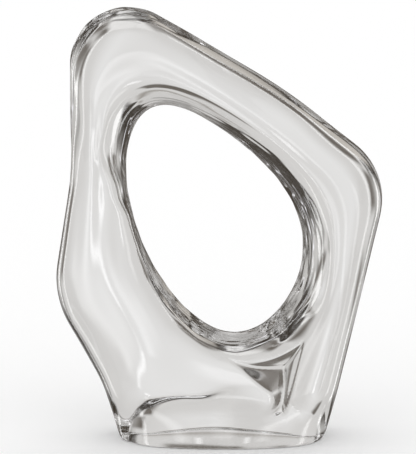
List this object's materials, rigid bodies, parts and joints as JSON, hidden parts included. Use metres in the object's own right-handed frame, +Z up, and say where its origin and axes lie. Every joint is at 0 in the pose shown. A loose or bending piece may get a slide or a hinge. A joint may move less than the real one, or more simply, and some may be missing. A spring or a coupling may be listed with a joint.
{
  "type": "crystal loop sculpture",
  "caption": "Free-form pierced loop of solid clear glass with a leaning egg-shaped hole, a rounded crown and a ground flat foot; an ornament that stands by itself.",
  "frame": {"origin": "on the surface that the sculpture stands on, under the middle of its bounding box", "axes": "+Z up; +X to the right seen from the front, toward the shoulder; +Y to the back, so the front faces -Y"},
  "size_m": [0.2535, 0.0764, 0.3411],
  "materials": {
    "clear_crystal": "fire-polished clear crystal, ground and polished flat underneath"
  },
  "bodies": {
    "root": {"foot": "clear_crystal", "left_limb": "clear_crystal", "crown": "clear_crystal", "top_arm": "clear_crystal", "shoulder": "clear_crystal", "right_limb": "clear_crystal"}
  },
  "joints": []
}
